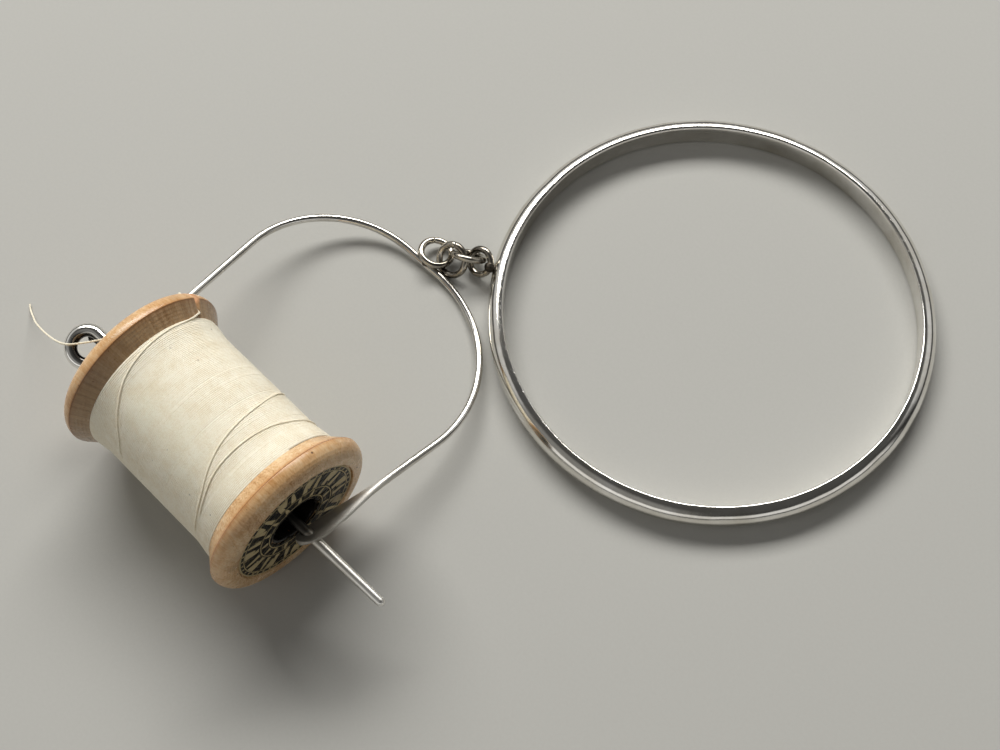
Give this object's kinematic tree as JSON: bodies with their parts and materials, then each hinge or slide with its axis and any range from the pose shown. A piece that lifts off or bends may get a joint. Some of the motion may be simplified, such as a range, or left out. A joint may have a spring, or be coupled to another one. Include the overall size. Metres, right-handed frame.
{
  "type": "bracelet cotton-reel holder",
  "caption": "Wrist bangle with a short chain, a wire yoke and a pull-out pin that carries a wooden reel of cotton, which spins on the pin",
  "frame": {"origin": "centre of the bangle on the surface it lies on", "axes": "+Z along the bangle's bore, upwards; +X along the reel's axis, towards its labelled end; the chain and the yoke lie towards -Y"},
  "size_m": [0.1128, 0.1195, 0.0276],
  "materials": {
    "silver": "polished silver with fine scratches",
    "solder": "dull silver solder",
    "wood": "turned, waxed hardwood",
    "paper": "printed paper with a slight gloss",
    "cotton": "matt sewing cotton"
  },
  "bodies": {
    "bangle": {"bangle": "silver", "bangle_eye": "silver", "bangle_solder": "solder"},
    "link_1": {"chain_link_1": "silver"},
    "link_2": {"chain_link_2": "silver"},
    "yoke": {"yoke": "silver", "yoke_eye": "silver", "yoke_solder": "solder"},
    "pin": {"pin": "silver", "thread_tail": "cotton"},
    "reel": {"reel": "wood", "label": "paper", "thread_winding": "cotton", "thread_lead": "cotton"}
  },
  "joints": [
    {"name": "link_1_swing", "type": "hinge", "parent": "bangle", "child": "link_1", "pos_m": [-0.0315, -0.01893, 0.00316], "axis": [0.3386, -0.5975, 0.7269], "range_deg": [-90, 3]},
    {"name": "link_2_twist", "type": "hinge", "parent": "link_1", "child": "link_2", "pos_m": [-0.03585, -0.02116, 0.00297], "axis": [0.03, -0.9113, 0.4106], "range_deg": [-90, 3]},
    {"name": "yoke_lift", "type": "hinge", "parent": "link_2", "child": "yoke", "pos_m": [-0.03629, -0.02361, 0.0006], "axis": [0.972, -0.1804, 0.1503], "range_deg": [-48, 5]},
    {"name": "pin_slide", "type": "slide", "parent": "yoke", "child": "pin", "axis": [-0.997, -0.0348, 0.0698], "range_m": [0, 0.055]},
    {"name": "reel_spin", "type": "hinge", "parent": "yoke", "child": "reel", "pos_m": [-0.03421, -0.07068, 0.0138], "axis": [1, 0, 0], "continuous": true}
  ]
}
